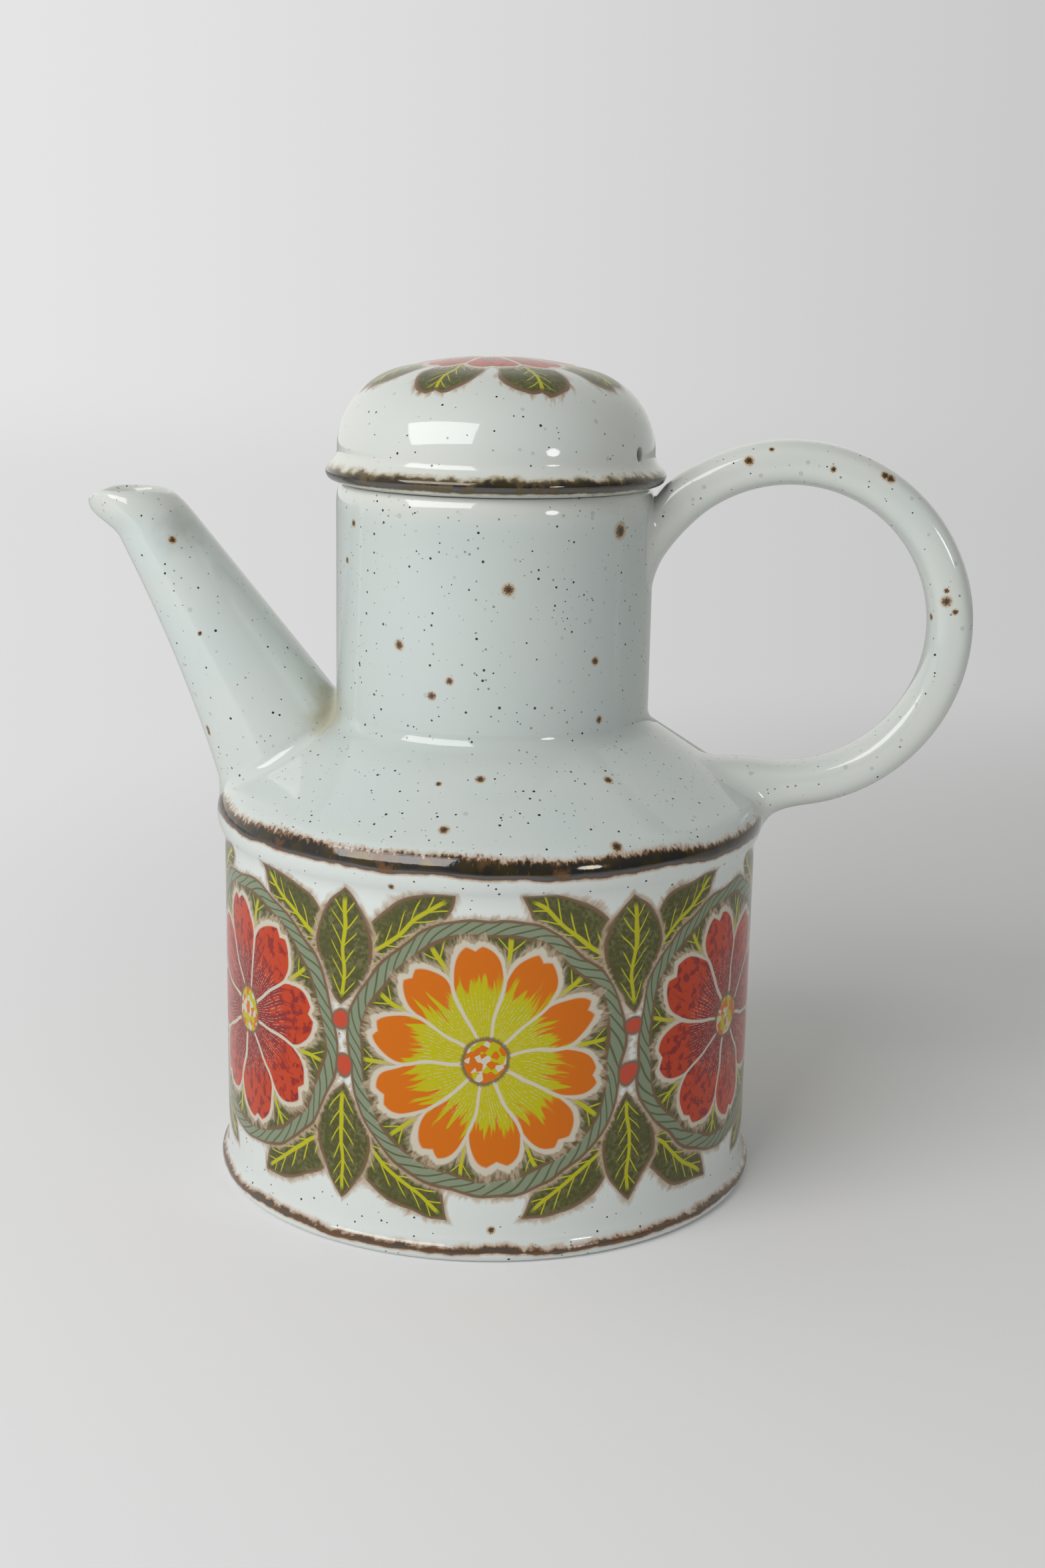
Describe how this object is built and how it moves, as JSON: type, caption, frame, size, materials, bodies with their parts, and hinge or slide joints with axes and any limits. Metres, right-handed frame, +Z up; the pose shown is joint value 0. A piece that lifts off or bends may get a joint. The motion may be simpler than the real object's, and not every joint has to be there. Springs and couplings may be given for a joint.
{
  "type": "coffee pot",
  "caption": "Stoneware coffee pot: cylindrical drum, sloping shoulder, straight neck, long spout, ring handle and a domed lid that lifts off.",
  "frame": {"origin": "on the pot's axis, in the plane of the table that the foot ring stands on", "axes": "+Z up along the axis of the drum, neck and lid; the spout points along -X and the handle along +X; Y is across"},
  "size_m": [0.2368, 0.148, 0.2206],
  "materials": {
    "pot_glaze": "gloss, speckled pale grey-green glaze with brown iron edges",
    "lid_glaze": "gloss, speckled pale grey-green glaze with a brown iron rim"
  },
  "bodies": {
    "pot": {"pot_body": "pot_glaze", "spout": "pot_glaze", "handle": "pot_glaze"},
    "lid": {"lid": "lid_glaze"}
  },
  "joints": [
    {"name": "lid_lift", "type": "slide", "parent": "pot", "child": "lid", "axis": [0, 0, 1], "range_m": [0, 0.06]}
  ]
}
